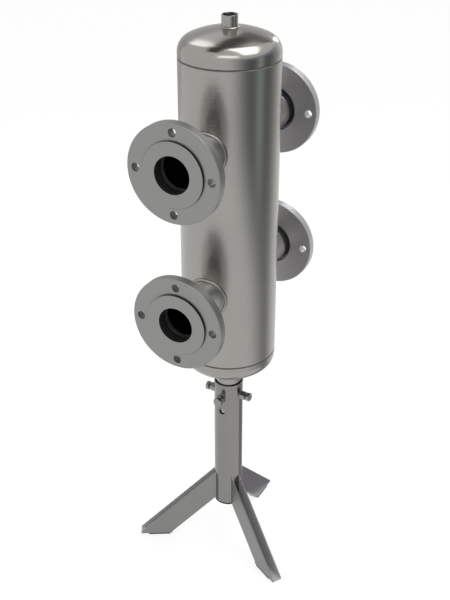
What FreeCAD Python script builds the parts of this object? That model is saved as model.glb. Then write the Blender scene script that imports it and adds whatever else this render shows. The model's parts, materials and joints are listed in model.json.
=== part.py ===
# Hydraulic separator: a welded stainless vessel with four loose-flange ports and a vent
# socket, whose spigot is clamped in a tripod stand tube.
# Millimetres. Z is up, the floor is z = 0, the vessel's axis is the Z axis and the
# four ports lie along +X and -X.
import FreeCAD, Part
import math
import os
import re
import Sketcher

doc = FreeCAD.newDocument("hydraulic_separator")

# Driving dimensions
SIZES = {
    # vessel
    "vessel_diameter": 189,
    "vessel_wall": 3,
    "shell_length": 603,
    "seam_bevel": 1.6,
    "head_skirt": 9.5,
    "knuckle_radius": 29,
    "crown_radius": 189,
    # vent socket on the top head
    "socket_diameter": 30,
    "socket_reach": 22,
    "socket_thread_minor": 24.1,
    "socket_thread_major": 26.4,
    "socket_hole_clearance": 0.3,
    "neck_weld_leg": 2.5,
    # ports
    "port_rise": 153.5,
    "port_spacing": 295.5,
    "port_reach": 211,
    "pipe_diameter": 76.1,
    "pipe_wall": 2.9,
    "saddle_weld_leg": 4.5,
    "saddle_weld_bevel": 3,
    "lap_diameter": 122,
    "lap_thickness": 4,
    "lap_edge": 0.6,
    "lap_fillet": 6.3,
    "lap_neck_length": 32,
    "butt_weld_width": 6,
    "butt_weld_rise": 1,
    # loose flanges
    "flange_diameter": 185,
    "flange_thickness": 18,
    "flange_bore": 90,
    "flange_edge": 1,
    "flange_play": 0.3,
    "bolt_circle": 151,
    "bolt_hole": 16,
    "bolt_count": 4,
    # stand tube and the spigot that slides in it
    "tube_diameter": 60.3,
    "tube_wall": 2,
    "tube_foot": 102,
    "tube_length": 308.5,
    "plug_rim": 4.4,
    "plug_depth": 16,
    "plug_wall": 2,
    "plug_edge": 0.8,
    "plug_play": 0.1,
    "spigot_diameter": 53,
    "spigot_wall": 2,
    "spigot_overlap": 170,
    "spigot_showing": 85,
    "sight_hole": 14,
    "sight_hole_drop": 65.5,
    # clamp screws, M10
    "clamp_drop": 30.5,
    "clamp_count": 4,
    "screw_diameter": 10,
    "screw_play": 0.05,
    "screw_hole": 11,
    "tip_gap": 0.3,
    "hex_width": 17,
    "nut_length": 11,
    "thread_showing": 3.3,
    "screw_head": 7,
    "hex_bevel": 0.4,
    # legs
    "leg_count": 3,
    "leg_reach": 197.5,
    "leg_slope": 44.5,
    "leg_depth": 50,
    "leg_width": 22,
    "sheet_thickness": 2,
    "bend_radius": 3,
    "nose_height": 1.2,
    "pad_thickness": 3,
    "pad_length": 48,
    "pad_inset": 17,
    "pad_edge": 0.6,
}

sheet = doc.addObject("Spreadsheet::Sheet", "Sizes")
for row, (alias, number) in enumerate(SIZES.items(), start=1):
    sheet.set(f"A{row}", alias)
    sheet.set(f"B{row}", str(number))
    sheet.setAlias(f"B{row}", alias)
doc.recompute()

ALIAS = re.compile(r"\b(" + "|".join(SIZES) + r")\b")
AXIS_X = FreeCAD.Vector(1, 0, 0)
AXIS_Y = FreeCAD.Vector(0, 1, 0)
AXIS_Z = FreeCAD.Vector(0, 0, 1)

# Formulas that several pieces share
VESSEL_R = "vessel_diameter / 2"
PIPE_R = "pipe_diameter / 2"
TUBE_R = "tube_diameter / 2"
SPIGOT_R = "spigot_diameter / 2"
SOCKET_R = "socket_diameter / 2"
CROWN_RISE = ("(crown_radius - sqrt((crown_radius - knuckle_radius)^2"
              " - (vessel_diameter / 2 - knuckle_radius)^2))")
HEAD_RISE = f"(head_skirt + {CROWN_RISE})"
TUBE_RIM = "(tube_foot + tube_length)"
SEAM = f"({TUBE_RIM} + spigot_showing)"
TOP_SEAM = f"({SEAM} + shell_length)"
PORT_AXIS = f"({SEAM} + port_rise)"
CLAMP_AXIS = f"({TUBE_RIM} - clamp_drop)"
PLATE_TOP = "(pad_thickness + sheet_thickness)"
SCREW_HEAD_FACE = f"({TUBE_R} + nut_length + thread_showing)"

NEAR = 0.01          # two lengths closer than this are the same
sub_parts = []


def tied(formula):
    """Point each alias in a formula at its cell in the sheet."""
    return ALIAS.sub(r"Sizes.\1", formula)


def bind(thing, **formulas):
    for name, formula in formulas.items():
        thing.setExpression(name.replace("__", "."), tied(formula))


def sub_part(thing, name):
    """List a finished piece under its own label."""
    thing.Label = name
    sub_parts.append(thing)
    return thing


def place(thing, turn=0, height="0"):
    """Turn a piece about the vessel's axis and set its height."""
    thing.Placement = FreeCAD.Placement(FreeCAD.Vector(), FreeCAD.Rotation(AXIS_Z, turn))
    bind(thing, Placement__Base__z=height)


# Sketches


def new_body(name):
    return sub_part(doc.addObject("PartDesign::Body", name + "_body"), name)


def origin_part(body, role):
    return next(item for item in body.Origin.OriginFeatures if item.Role == role)


def new_sketch(body, name, plane):
    sketch = body.newObject("Sketcher::SketchObject", name)
    sketch.AttachmentSupport = [(origin_part(body, plane), "")]
    sketch.MapMode = "FlatFace"
    return sketch


def pin(sketch, geometry, point, across, along):
    """Hold a point at a pair of formulas, measured from the sketch's origin."""
    for kind, axis, formula in (("DistanceX", -2, across), ("DistanceY", -1, along)):
        if formula == "0":
            sketch.addConstraint(Sketcher.Constraint("PointOnObject", geometry, point, axis))
            continue
        spot = sketch.getPoint(geometry, point)
        now = spot.x if kind == "DistanceX" else spot.y
        index = sketch.addConstraint(Sketcher.Constraint(kind, -1, 1, geometry, point, now))
        sketch.setExpression(f"Constraints[{index}]", tied(formula))


def outline(sketch, corners):
    """Closed outline through corners given as pairs of formulas."""
    count = len(corners)
    start = [FreeCAD.Vector(30 + 10 * math.cos(2 * math.pi * i / count),
                            30 + 10 * math.sin(2 * math.pi * i / count), 0) for i in range(count)]
    lines = [sketch.addGeometry(Part.LineSegment(start[i], start[(i + 1) % count]))
             for i in range(count)]
    for before, line, corner in zip([lines[-1]] + lines, lines, corners):
        sketch.addConstraint(Sketcher.Constraint("Coincident", before, 2, line, 1))
        pin(sketch, line, 1, *corner)


def circle(sketch, diameter, across="0", along="0"):
    ring = sketch.addGeometry(Part.Circle(FreeCAD.Vector(5, 5, 0), AXIS_Z, 5))
    index = sketch.addConstraint(Sketcher.Constraint("Diameter", ring, 10))
    sketch.setExpression(f"Constraints[{index}]", tied(diameter))
    pin(sketch, ring, 3, across, along)


# Features of a body


def revolve(body, corners, axis="V_Axis"):
    """Turn an outline in the XZ plane about the sketch's upright or level axis."""
    sketch = new_sketch(body, "profile", "XZ_Plane")
    outline(sketch, corners)
    turned = body.newObject("PartDesign::Revolution", "turned")
    turned.Profile = sketch
    turned.ReferenceAxis = (sketch, [axis])
    turned.Angle = 360
    return turned


def drill(body, plane, diameter, across="0", along="0", both_ways=True):
    """Cut a round hole from one of the body's own planes, through one wall or through both."""
    sketch = new_sketch(body, "hole_sketch", plane)
    circle(sketch, diameter, across, along)
    hole = body.newObject("PartDesign::Pocket", "hole")
    hole.Profile = sketch
    hole.Type = "ThroughAll"
    hole.Midplane = both_ways
    hole.Reversed = False
    return hole


def edges_where(shape, test):
    """Names of the edges whose middle point and direction pass a test."""
    names = []
    for number, edge in enumerate(shape.Edges, start=1):
        middle = edge.valueAt((edge.FirstParameter + edge.LastParameter) / 2)
        if test(edge, middle):
            names.append(f"Edge{number}")
    return names


def round_edges(body, base, radius, test):
    doc.recompute()
    rounded = body.newObject("PartDesign::Fillet", "rounded")
    rounded.Base = (base, edges_where(base.Shape, test))
    bind(rounded, Radius=radius)
    return rounded


# Part primitives


def cylinder(name, radius, length, along=AXIS_Z, start="0"):
    """Cylinder on Z, X or Y that begins at a distance from the origin."""
    rod = doc.addObject("Part::Cylinder", name)
    bind(rod, Radius=radius, Height=length)
    rod.Placement = FreeCAD.Placement(FreeCAD.Vector(), FreeCAD.Rotation(AXIS_Z, along))
    for letter, share in zip("xyz", along):
        if share:
            bind(rod, **{f"Placement__Base__{letter}": start})
    return rod


def sphere(name, radius, height):
    ball = doc.addObject("Part::Sphere", name)
    bind(ball, Radius=radius, Placement__Base__z=height)
    return ball


def boolean(kind, name, base, tool):
    joined = doc.addObject(f"Part::{kind}", name)
    joined.Base = base
    joined.Tool = tool
    return joined


# Vessel


def make_shell():
    """Rolled shell with bevelled ends and a round opening at each port."""
    body = new_body("vessel_shell")
    inner = "vessel_diameter / 2 - vessel_wall"
    revolve(body, [(inner, "0"), (f"{VESSEL_R} - seam_bevel", "0"), (VESSEL_R, "seam_bevel"),
                   (VESSEL_R, "shell_length - seam_bevel"),
                   (f"{VESSEL_R} - seam_bevel", "shell_length"), (inner, "shell_length")])
    for height in ("port_rise", "port_rise + port_spacing"):
        drill(body, "YZ_Plane", "pipe_diameter - 2 * pipe_wall", along=height)
    place(body, height=SEAM)


def head_profile(sketch):
    """Wall of a dished head: short skirt, knuckle arc and crown arc, inside and outside."""
    radius, wall = SIZES["vessel_diameter"] / 2, SIZES["vessel_wall"]
    skirt, bevel = SIZES["head_skirt"], SIZES["seam_bevel"]
    knuckle, crown = SIZES["knuckle_radius"], SIZES["crown_radius"]
    turn = math.asin((radius - knuckle) / (crown - knuckle))
    knuckle_centre = FreeCAD.Vector(radius - knuckle, skirt, 0)
    crown_centre = FreeCAD.Vector(0, skirt - (crown - knuckle) * math.cos(turn), 0)

    def arc(centre, size, first, last):
        ring = Part.Circle(centre, AXIS_Z, size)
        return sketch.addGeometry(Part.ArcOfCircle(ring, first, last))

    def line(x1, y1, x2, y2):
        return sketch.addGeometry(Part.LineSegment(FreeCAD.Vector(x1, y1, 0),
                                                   FreeCAD.Vector(x2, y2, 0)))

    def hold(kind, *where):
        sketch.addConstraint(Sketcher.Constraint(kind, *where))

    def measure(kind, where, now, formula):
        index = sketch.addConstraint(Sketcher.Constraint(kind, *where, now))
        sketch.setExpression(f"Constraints[{index}]", tied(formula))

    right, up = 0.0, math.pi / 2
    apex = crown_centre.y + crown
    foot = line(radius - wall, 0, radius - bevel, 0)
    seam = line(radius - bevel, 0, radius, bevel)
    outside = line(radius, bevel, radius, skirt)
    outer_knuckle = arc(knuckle_centre, knuckle, right, up - turn)
    outer_crown = arc(crown_centre, crown, up - turn, up)
    middle = line(0, apex, 0, apex - wall)
    inner_crown = arc(crown_centre, crown - wall, up - turn, up)
    inner_knuckle = arc(knuckle_centre, knuckle - wall, right, up - turn)
    inside = line(radius - wall, skirt, radius - wall, 0)

    hold("Coincident", foot, 2, seam, 1)
    hold("Coincident", seam, 2, outside, 1)
    hold("Tangent", outside, 2, outer_knuckle, 1)
    hold("Tangent", outer_knuckle, 2, outer_crown, 1)
    hold("Coincident", outer_crown, 2, middle, 1)
    hold("Coincident", middle, 2, inner_crown, 2)
    hold("Tangent", inner_crown, 1, inner_knuckle, 2)
    hold("Tangent", inner_knuckle, 1, inside, 1)
    hold("Coincident", inside, 2, foot, 1)
    hold("PointOnObject", foot, 1, -1)
    hold("PointOnObject", foot, 2, -1)
    hold("Vertical", outside)
    hold("Vertical", middle)
    hold("PointOnObject", middle, 1, -2)
    hold("PointOnObject", outer_crown, 3, -2)
    hold("Coincident", inner_crown, 3, outer_crown, 3)
    hold("Coincident", inner_knuckle, 3, outer_knuckle, 3)
    measure("DistanceX", (-1, 1, outside, 1), radius, VESSEL_R)
    measure("DistanceX", (-1, 1, foot, 1), radius - wall, f"{VESSEL_R} - vessel_wall")
    measure("DistanceX", (-1, 1, foot, 2), radius - bevel, f"{VESSEL_R} - seam_bevel")
    measure("DistanceY", (-1, 1, outside, 1), bevel, "seam_bevel")
    measure("DistanceY", (-1, 1, outside, 2), skirt, "head_skirt")
    measure("Radius", (outer_knuckle,), knuckle, "knuckle_radius")
    measure("Radius", (outer_crown,), crown, "crown_radius")


def make_head(name):
    body = new_body(name)
    sketch = new_sketch(body, "profile", "XZ_Plane")
    head_profile(sketch)
    turned = body.newObject("PartDesign::Revolution", "dished")
    turned.Profile = sketch
    turned.ReferenceAxis = (sketch, ["V_Axis"])
    turned.Angle = 360
    return body


def make_heads():
    """Two dished heads, the upper one with the vent's opening."""
    top = make_head("top_head")
    drill(top, "XY_Plane", "socket_diameter + 2 * socket_hole_clearance")
    place(top, height=TOP_SEAM)
    bottom = make_head("bottom_head")
    bottom.Placement = FreeCAD.Placement(FreeCAD.Vector(), FreeCAD.Rotation(AXIS_X, 180))
    bind(bottom, Placement__Base__z=SEAM)


def make_vent():
    """Threaded socket through the top head, and the fillet weld round it."""
    body = new_body("vent_socket")
    inner, mouth = "socket_thread_minor / 2", "socket_thread_major / 2"
    reach = "socket_reach + vessel_wall"
    step = "socket_thread_major / 2 - socket_thread_minor / 2"
    revolve(body, [(inner, "0"), (SOCKET_R, "0"), (SOCKET_R, reach), (mouth, reach),
                   (inner, f"{reach} - ({step})")])
    place(body, height=f"{TOP_SEAM} + {HEAD_RISE} - vessel_wall")

    bead = doc.addObject("Part::Cone", "vent_bead")
    bind(bead, Radius1=f"{SOCKET_R} + 2 * neck_weld_leg", Radius2=SOCKET_R,
         Height="2 * neck_weld_leg",
         Placement__Base__z=f"{TOP_SEAM} + {HEAD_RISE} - neck_weld_leg")
    core = cylinder("vent_core", SOCKET_R, "socket_reach",
                    start=f"{TOP_SEAM} + {HEAD_RISE} - vessel_wall")
    dome = sphere("vent_dome", "crown_radius", f"{TOP_SEAM} + {HEAD_RISE} - crown_radius")
    hollow = boolean("Cut", "vent_bead_ring", bead, core)
    sub_part(boolean("Cut", "vent_weld_cut", hollow, dome), "vent_weld")


def make_spigot():
    """Pipe under the bottom head that slides in the stand tube, and its weld."""
    bottom = f"({SEAM} - {HEAD_RISE})"
    foot = f"({TUBE_RIM} - spigot_overlap)"
    span = f"{bottom} + knuckle_radius - {foot}"
    outer = cylinder("spigot_outer", SPIGOT_R, span, start=foot)
    inner = cylinder("spigot_inner", f"{SPIGOT_R} - spigot_wall", span, start=foot)
    dome = sphere("spigot_dome", "crown_radius", f"{bottom} + crown_radius")
    pipe = boolean("Cut", "spigot_pipe", outer, inner)
    sub_part(boolean("Cut", "spigot_cut", pipe, dome), "spigot")

    bead = doc.addObject("Part::Cone", "spigot_bead")
    bind(bead, Radius1=SPIGOT_R, Radius2=f"{SPIGOT_R} + 2 * neck_weld_leg",
         Height="2 * neck_weld_leg", Placement__Base__z=f"{bottom} - neck_weld_leg")
    core = cylinder("spigot_core", SPIGOT_R, span, start=foot)
    hollow = boolean("Cut", "spigot_bead_ring", bead, core)
    sub_part(boolean("Cut", "spigot_weld_cut", hollow, dome), "spigot_weld")


# Ports


def make_branch(port, turn, height):
    """Branch pipe cut to the shell's curve, and the fillet weld that follows that curve."""
    neck_joint = "(port_reach - lap_neck_length)"
    body = new_body(f"{port}_pipe")
    inner = f"{PIPE_R} - pipe_wall"
    revolve(body, [(f"{VESSEL_R} / 2", inner), (neck_joint, inner), (neck_joint, PIPE_R),
                   (f"{VESSEL_R} / 2", PIPE_R)], axis="H_Axis")
    drill(body, "XY_Plane", "vessel_diameter")
    place(body, turn, height)

    weld_r = f"({PIPE_R} + saddle_weld_leg)"
    band = cylinder(f"{port}_band", f"{VESSEL_R} + saddle_weld_leg", f"4 * {weld_r}",
                    start=f"-2 * {weld_r}")
    shell = cylinder(f"{port}_band_core", VESSEL_R, f"4 * {weld_r}", start=f"-2 * {weld_r}")
    stub = cylinder(f"{port}_weld_outer", weld_r, VESSEL_R, along=AXIS_X, start=f"{VESSEL_R} / 2")
    bore = cylinder(f"{port}_weld_inner", PIPE_R, VESSEL_R, along=AXIS_X, start=f"{VESSEL_R} / 2")
    inside = boolean("Common", f"{port}_weld_inside", stub, band)
    outside = boolean("Cut", f"{port}_weld_outside", inside, shell)
    ring = boolean("Cut", f"{port}_weld_ring", outside, bore)
    doc.recompute()
    rim = [number for number, edge in enumerate(ring.Shape.Edges, start=1)
           if is_weld_rim(edge)]
    bevelled = doc.addObject("Part::Chamfer", f"{port}_weld_bevel")
    bevelled.Base = ring
    bevelled.Edges = [(number, SIZES["saddle_weld_bevel"], SIZES["saddle_weld_bevel"])
                      for number in rim]
    place(sub_part(bevelled, f"{port}_weld"), turn, height)


def is_weld_rim(edge):
    """True for the edge where the weld's outside meets its top, all round the branch."""
    side = SIZES["pipe_diameter"] / 2 + SIZES["saddle_weld_leg"]
    top = SIZES["vessel_diameter"] / 2 + SIZES["saddle_weld_leg"]
    spots = edge.discretize(9)
    return all(abs(math.hypot(spot.y, spot.z) - side) < NEAR and
               abs(math.hypot(spot.x, spot.y) - top) < NEAR for spot in spots)


def make_lap_end(port, turn, height):
    """Stub end: a short neck that flares into the flat lap the loose flange bears on."""
    body = new_body(f"{port}_lap_end")
    inner, foot = f"{PIPE_R} - pipe_wall", "port_reach - lap_neck_length"
    back = "port_reach - lap_thickness"
    bevel = "lap_edge"
    turned = revolve(body, [(foot, inner), ("port_reach", inner),
                            ("port_reach", f"lap_diameter / 2 - {bevel}"),
                            (f"port_reach - {bevel}", "lap_diameter / 2"),
                            (f"{back} + {bevel}", "lap_diameter / 2"),
                            (back, f"lap_diameter / 2 - {bevel}"),
                            (back, PIPE_R), (foot, PIPE_R)], axis="H_Axis")
    reach = SIZES["port_reach"] - SIZES["lap_thickness"]
    radius = SIZES["pipe_diameter"] / 2

    def in_the_corner(edge, middle):
        return abs(middle.x - reach) < NEAR and abs(math.hypot(middle.y, middle.z) - radius) < NEAR

    round_edges(body, turned, "lap_fillet", in_the_corner)
    place(body, turn, height)

    half = "butt_weld_width / 2"
    bead = new_body(f"{port}_butt_weld")
    revolve(bead, [(f"{foot} - {half}", PIPE_R), (f"{foot} + {half}", PIPE_R),
                   (f"{foot} + {half} / 2", f"{PIPE_R} + butt_weld_rise"),
                   (f"{foot} - {half} / 2", f"{PIPE_R} + butt_weld_rise")], axis="H_Axis")
    place(bead, turn, height)


def make_flange(port, turn, height):
    """Loose plate flange behind the lap, with its bolt holes on the upright and level lines."""
    body = new_body(f"{port}_flange")
    front = "(port_reach - lap_thickness - flange_play)"
    back = f"({front} - flange_thickness)"
    rim, bore, edge = "flange_diameter / 2", "flange_bore / 2", "flange_edge"
    revolve(body, [(f"{back} + {edge}", bore), (f"{front} - {edge}", bore),
                   (front, f"{bore} + {edge}"), (front, f"{rim} - {edge}"),
                   (f"{front} - {edge}", rim), (f"{back} + {edge}", rim),
                   (back, f"{rim} - {edge}"), (back, f"{bore} + {edge}")], axis="H_Axis")
    hole = drill(body, "YZ_Plane", "bolt_hole", along="bolt_circle / 2")
    doc.recompute()
    pattern = body.newObject("PartDesign::PolarPattern", "bolt_holes")
    pattern.Originals = [hole]
    pattern.Axis = (origin_part(body, "X_Axis"), [""])
    pattern.Angle = 360
    bind(pattern, Occurrences="bolt_count")
    body.Tip = pattern
    place(body, turn, height)


def make_ports():
    heights = {"lower": PORT_AXIS, "upper": f"{PORT_AXIS} + port_spacing"}
    for level, height in heights.items():
        for side, turn in (("front", 180), ("rear", 0)):
            port = f"{level}_{side}"
            make_branch(port, turn, height)
            make_lap_end(port, turn, height)
            make_flange(port, turn, height)


# Stand


def make_tube():
    """Stand tube with clearance holes for the clamp screws and one plain sight hole."""
    body = new_body("stand_tube")
    inner = f"{TUBE_R} - tube_wall"
    revolve(body, [(inner, "0"), (TUBE_R, "0"), (TUBE_R, "tube_length"), (inner, "tube_length")])
    for plane in ("YZ_Plane", "XZ_Plane"):
        drill(body, plane, "screw_hole", along="tube_length - clamp_drop")
    drill(body, "YZ_Plane", "sight_hole", along="tube_length - sight_hole_drop", both_ways=False)
    place(body, height="tube_foot")

    plug = new_body("tube_plug")
    sleeve, rise = f"{TUBE_R} - tube_wall - plug_play", "plug_rim + plug_depth"
    revolve(plug, [("0", "0"), (f"{TUBE_R} - plug_edge", "0"), (TUBE_R, "plug_edge"),
                   (TUBE_R, "plug_rim"), (sleeve, "plug_rim"), (sleeve, rise),
                   (f"{sleeve} - plug_wall", rise), (f"{sleeve} - plug_wall", "plug_rim"),
                   ("0", "plug_rim")])
    place(plug, height="tube_foot - plug_rim")


def make_leg(number, turn):
    """Folded channel, open upward, that slopes from the tube to a flat foot plate."""
    slope, depth = "tan(leg_slope)", "(leg_depth / cos(leg_slope))"
    shoulder = f"(nose_height + (leg_reach - {TUBE_R} / 2) * {slope})"
    heel = f"(leg_reach + nose_height / {slope} - {depth} / {slope})"
    body = new_body(f"leg_{number}")
    side = new_sketch(body, "side", "XZ_Plane")
    outline(side, [(f"{TUBE_R} / 2", f"{shoulder} - {depth}"), (heel, "0"), ("leg_reach", "0"),
                   ("leg_reach", "nose_height"), (f"{TUBE_R} / 2", shoulder)])
    block = body.newObject("PartDesign::Pad", "block")
    block.Profile = side
    block.Midplane = True
    bind(block, Length="leg_width")

    angle = math.radians(SIZES["leg_slope"])
    drop = SIZES["leg_depth"] / math.cos(angle)
    top_line = SIZES["nose_height"] + SIZES["leg_reach"] * math.tan(angle)

    def below_top(spot):
        return top_line - spot.x * math.tan(angle) - spot.z

    def on_line(edge, middle, distance):
        flat = abs(edge.Vertexes[0].Y - edge.Vertexes[-1].Y) < NEAR
        return flat and edge.Length > drop / 2 and abs(below_top(middle) - distance) < NEAR

    outer = round_edges(body, block, "bend_radius", lambda edge, middle: on_line(edge, middle, drop))
    channel = new_sketch(body, "channel", "XZ_Plane")
    web = f"{depth} - sheet_thickness / cos(leg_slope)"
    near, far = f"({TUBE_R} / 2 - sheet_thickness)", "(leg_reach + sheet_thickness)"
    outline(channel, [(near, f"{shoulder} + sheet_thickness * {slope} - ({web})"),
                      (far, f"nose_height - sheet_thickness * {slope} - ({web})"),
                      (far, "nose_height + leg_depth"), (near, f"{shoulder} + leg_depth")])
    hollow = body.newObject("PartDesign::Pocket", "hollow")
    hollow.Profile = channel
    hollow.Midplane = True
    bind(hollow, Length="leg_width - 2 * sheet_thickness")
    web_line = drop - SIZES["sheet_thickness"] / math.cos(angle)
    inner = round_edges(body, hollow, "bend_radius - sheet_thickness",
                        lambda edge, middle: on_line(edge, middle, web_line))
    body.Tip = inner
    drill(body, "XY_Plane", "tube_diameter")
    place(body, turn, PLATE_TOP)

    plate = doc.addObject("Part::Box", f"plate_{number}")
    bind(plate, Length=f"leg_reach - {heel}", Width="leg_width", Height="sheet_thickness")
    seat(sub_part(plate, f"foot_plate_{number}"), turn, heel, "pad_thickness", "leg_width")

    pad = doc.addObject("Part::Box", f"pad_block_{number}")
    bind(pad, Length="pad_length", Width="leg_width", Height="pad_thickness")
    doc.recompute()
    upright = [index for index, edge in enumerate(pad.Shape.Edges, start=1)
               if edge.Length == SIZES["pad_thickness"]]
    rounded = doc.addObject("Part::Fillet", f"pad_{number}")
    rounded.Base = pad
    rounded.Edges = [(index, SIZES["pad_edge"], SIZES["pad_edge"]) for index in upright]
    inner_end = "leg_reach - pad_inset - pad_length"
    seat(sub_part(rounded, f"foot_pad_{number}"), turn, inner_end, "0", "leg_width")


def seat(thing, turn, start, height, width):
    """Lay a block that begins at its corner under a leg, centred on the leg's middle plane."""
    thing.Placement = FreeCAD.Placement(FreeCAD.Vector(), FreeCAD.Rotation(AXIS_Z, turn))
    bind(thing, Placement__Base__x=f"({start}) * cos({turn}) + {width} / 2 * sin({turn})",
         Placement__Base__y=f"({start}) * sin({turn}) - {width} / 2 * cos({turn})",
         Placement__Base__z=height)


def hexagon(name, length, start):
    """Hexagonal bar along X, its outer end bevelled to a round face."""
    bar = doc.addObject("Part::Prism", f"{name}_bar")
    bar.Polygon = 6
    bind(bar, Circumradius="hex_width / 2 / cos(30)", Height=length)
    bevel = doc.addObject("Part::Cone", f"{name}_bevel")
    bind(bevel, Radius1=f"hex_width / 2 - hex_bevel + ({length}) / tan(30)",
         Radius2="hex_width / 2 - hex_bevel", Height=length)
    for shape in (bar, bevel):
        shape.Placement = FreeCAD.Placement(FreeCAD.Vector(), FreeCAD.Rotation(AXIS_Y, 90))
        bind(shape, Placement__Base__x=start)
    return boolean("Common", f"{name}_hex", bar, bevel)


def make_clamp(number, turn):
    """Weld nut coped to the tube, and the hexagon screw that presses on the spigot."""
    name = f"clamp_{number}"
    bar = hexagon(f"{name}_nut", f"nut_length + {TUBE_R} / 2", f"{TUBE_R} / 2")
    tube = cylinder(f"{name}_tube", TUBE_R, "2 * hex_width", start="-hex_width")
    thread = cylinder(f"{name}_thread", "screw_diameter / 2 + screw_play", "tube_diameter",
                      along=AXIS_X)
    coped = boolean("Cut", f"{name}_coped", bar, tube)
    nut = sub_part(boolean("Cut", f"{name}_tapped", coped, thread), f"clamp_nut_{number}")
    place(nut, turn, CLAMP_AXIS)

    tip = f"({SPIGOT_R} + tip_gap)"
    shank = cylinder(f"{name}_shank", "screw_diameter / 2", f"{SCREW_HEAD_FACE} - {tip}",
                     along=AXIS_X, start=tip)
    head = hexagon(f"{name}_head", "screw_head", SCREW_HEAD_FACE)
    screw = sub_part(boolean("Fuse", f"{name}_screw", shank, head), f"clamp_screw_{number}")
    place(screw, turn, CLAMP_AXIS)


def make_stand():
    make_tube()
    for number in range(SIZES["leg_count"]):
        make_leg(number + 1, 360 / SIZES["leg_count"] * number)
    for number in range(SIZES["clamp_count"]):
        make_clamp(number + 1, 360 / SIZES["clamp_count"] * number)


make_shell()
make_heads()
make_vent()
make_spigot()
make_ports()
make_stand()
doc.recompute()

faults = [item.Label for item in doc.Objects if {"Invalid", "Error"} & set(item.State)]
if faults:
    raise RuntimeError("objects that failed: " + ", ".join(faults))
for piece in sub_parts:
    if piece.Shape.isNull() or not piece.Shape.isValid() or not piece.Shape.Solids:
        raise RuntimeError(f"{piece.Label} has no valid solid")

os.makedirs("parts", exist_ok=True)
for piece in sub_parts:
    piece.Shape.exportStep(f"parts/{piece.Label}.step")
    box = piece.Shape.BoundBox
    print(f"{piece.Label:24s} {len(piece.Shape.Solids)} solid  volume {piece.Shape.Volume / 1000:9.2f} cm3"
          f"  x {box.XMin:7.1f} {box.XMax:7.1f}  y {box.YMin:7.1f} {box.YMax:7.1f}"
          f"  z {box.ZMin:7.1f} {box.ZMax:7.1f}")
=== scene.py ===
# %% [markdown]
# A hydraulic separator is an upright stainless vessel that couples a boiler's circuit with the
# heating circuits. Two dished heads close a rolled shell, four branch pipes carry loose flanges,
# a threaded socket on top takes an air vent, and a spigot below is clamped in a tripod stand.
# The construction is already modelled. This lesson loads it as a fixed frame, adds what only
# the welder and the lathe leave behind, gives every surface its finish and lights the result.

# %% The frame
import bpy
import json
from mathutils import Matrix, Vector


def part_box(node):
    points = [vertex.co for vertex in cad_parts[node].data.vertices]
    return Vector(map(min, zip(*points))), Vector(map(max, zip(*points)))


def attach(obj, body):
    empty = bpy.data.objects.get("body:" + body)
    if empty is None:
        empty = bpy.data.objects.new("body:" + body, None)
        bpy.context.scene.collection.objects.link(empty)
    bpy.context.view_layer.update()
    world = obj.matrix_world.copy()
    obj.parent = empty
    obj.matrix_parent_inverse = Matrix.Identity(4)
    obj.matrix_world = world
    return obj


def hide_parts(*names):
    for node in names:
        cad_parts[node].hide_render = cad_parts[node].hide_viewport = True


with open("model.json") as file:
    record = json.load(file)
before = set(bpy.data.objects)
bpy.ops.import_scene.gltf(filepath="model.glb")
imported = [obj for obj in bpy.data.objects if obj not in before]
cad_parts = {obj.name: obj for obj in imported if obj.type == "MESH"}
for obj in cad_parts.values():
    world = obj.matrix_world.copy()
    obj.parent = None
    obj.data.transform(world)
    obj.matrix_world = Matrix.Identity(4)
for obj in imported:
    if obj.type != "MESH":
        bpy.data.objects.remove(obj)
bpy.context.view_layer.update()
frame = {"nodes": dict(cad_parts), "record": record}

# %% [markdown]
# The frame is in metres, and MM turns a maker's millimetres into them. The four ports are named
# once, because most of what a port needs is made four times.

# %% Tools
import json
import math

import bmesh
import bpy
import numpy as np
from mathutils import Matrix, Vector

MM = 0.001
PORTS = ("lower_front", "lower_rear", "upper_front", "upper_rear")
print("Blender", bpy.app.version_string, "numpy", np.__version__)

# %% [markdown]
# The main radii and heights could be typed in again, but then every weld would miss its pipe as
# soon as the construction changed. So they are read from the frame. The heads have a crown
# radius equal to the vessel's diameter, as dished heads of this kind do, and that gives the
# curve on which the neck welds lie.


# %% Sizes read from the frame
def measured(node):
    """A node's lowest and highest corners as two arrays of metres."""
    low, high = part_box(node)
    return np.array(low), np.array(high)


shell_low, shell_high = measured("vessel_shell")
SHELL_R = shell_high[0]
CROWN_R = 2 * SHELL_R
BOTTOM_APEX = measured("bottom_head")[0][2]
HEAD_RISE = shell_low[2] - BOTTOM_APEX
TOP_APEX = shell_high[2] + HEAD_RISE
PIPE_R = measured("lower_rear_pipe")[1][1]
PORT_HEIGHT = {port: sum(corner[2] for corner in measured(f"{port}_pipe")) / 2 for port in PORTS}
print(f"shell radius {SHELL_R / MM:.2f} mm, pipe radius {PIPE_R / MM:.2f} mm")
print(f"the heads rise {HEAD_RISE / MM:.2f} mm")

# %% [markdown]
# A finish is a tree of nodes. Wired by hand, socket by socket, such a tree hides its own
# arithmetic. So one small class wraps a socket and lets Python's operators add the Math nodes,
# from either side, so that 1 - mask works as well as mask - 1.


# %% Shader values as Python values
def feed(tree, socket, value):
    """Link a shader value to a socket, or set the socket to a plain number or colour."""
    if isinstance(value, Signal):
        tree.links.new(value.socket, socket)
    elif isinstance(value, tuple) and len(value) == 3 and socket.type == "RGBA":
        socket.default_value = (*value, 1.0)
    else:
        socket.default_value = value


def maths(operation, *values):
    """Math node on shader values and plain numbers, in the order of its sockets."""
    tree = next(value.tree for value in values if isinstance(value, Signal))
    node = tree.nodes.new("ShaderNodeMath")
    node.operation = operation
    for socket, value in zip(node.inputs, values):
        feed(tree, socket, value)
    return Signal(tree, node.outputs[0])


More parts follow.
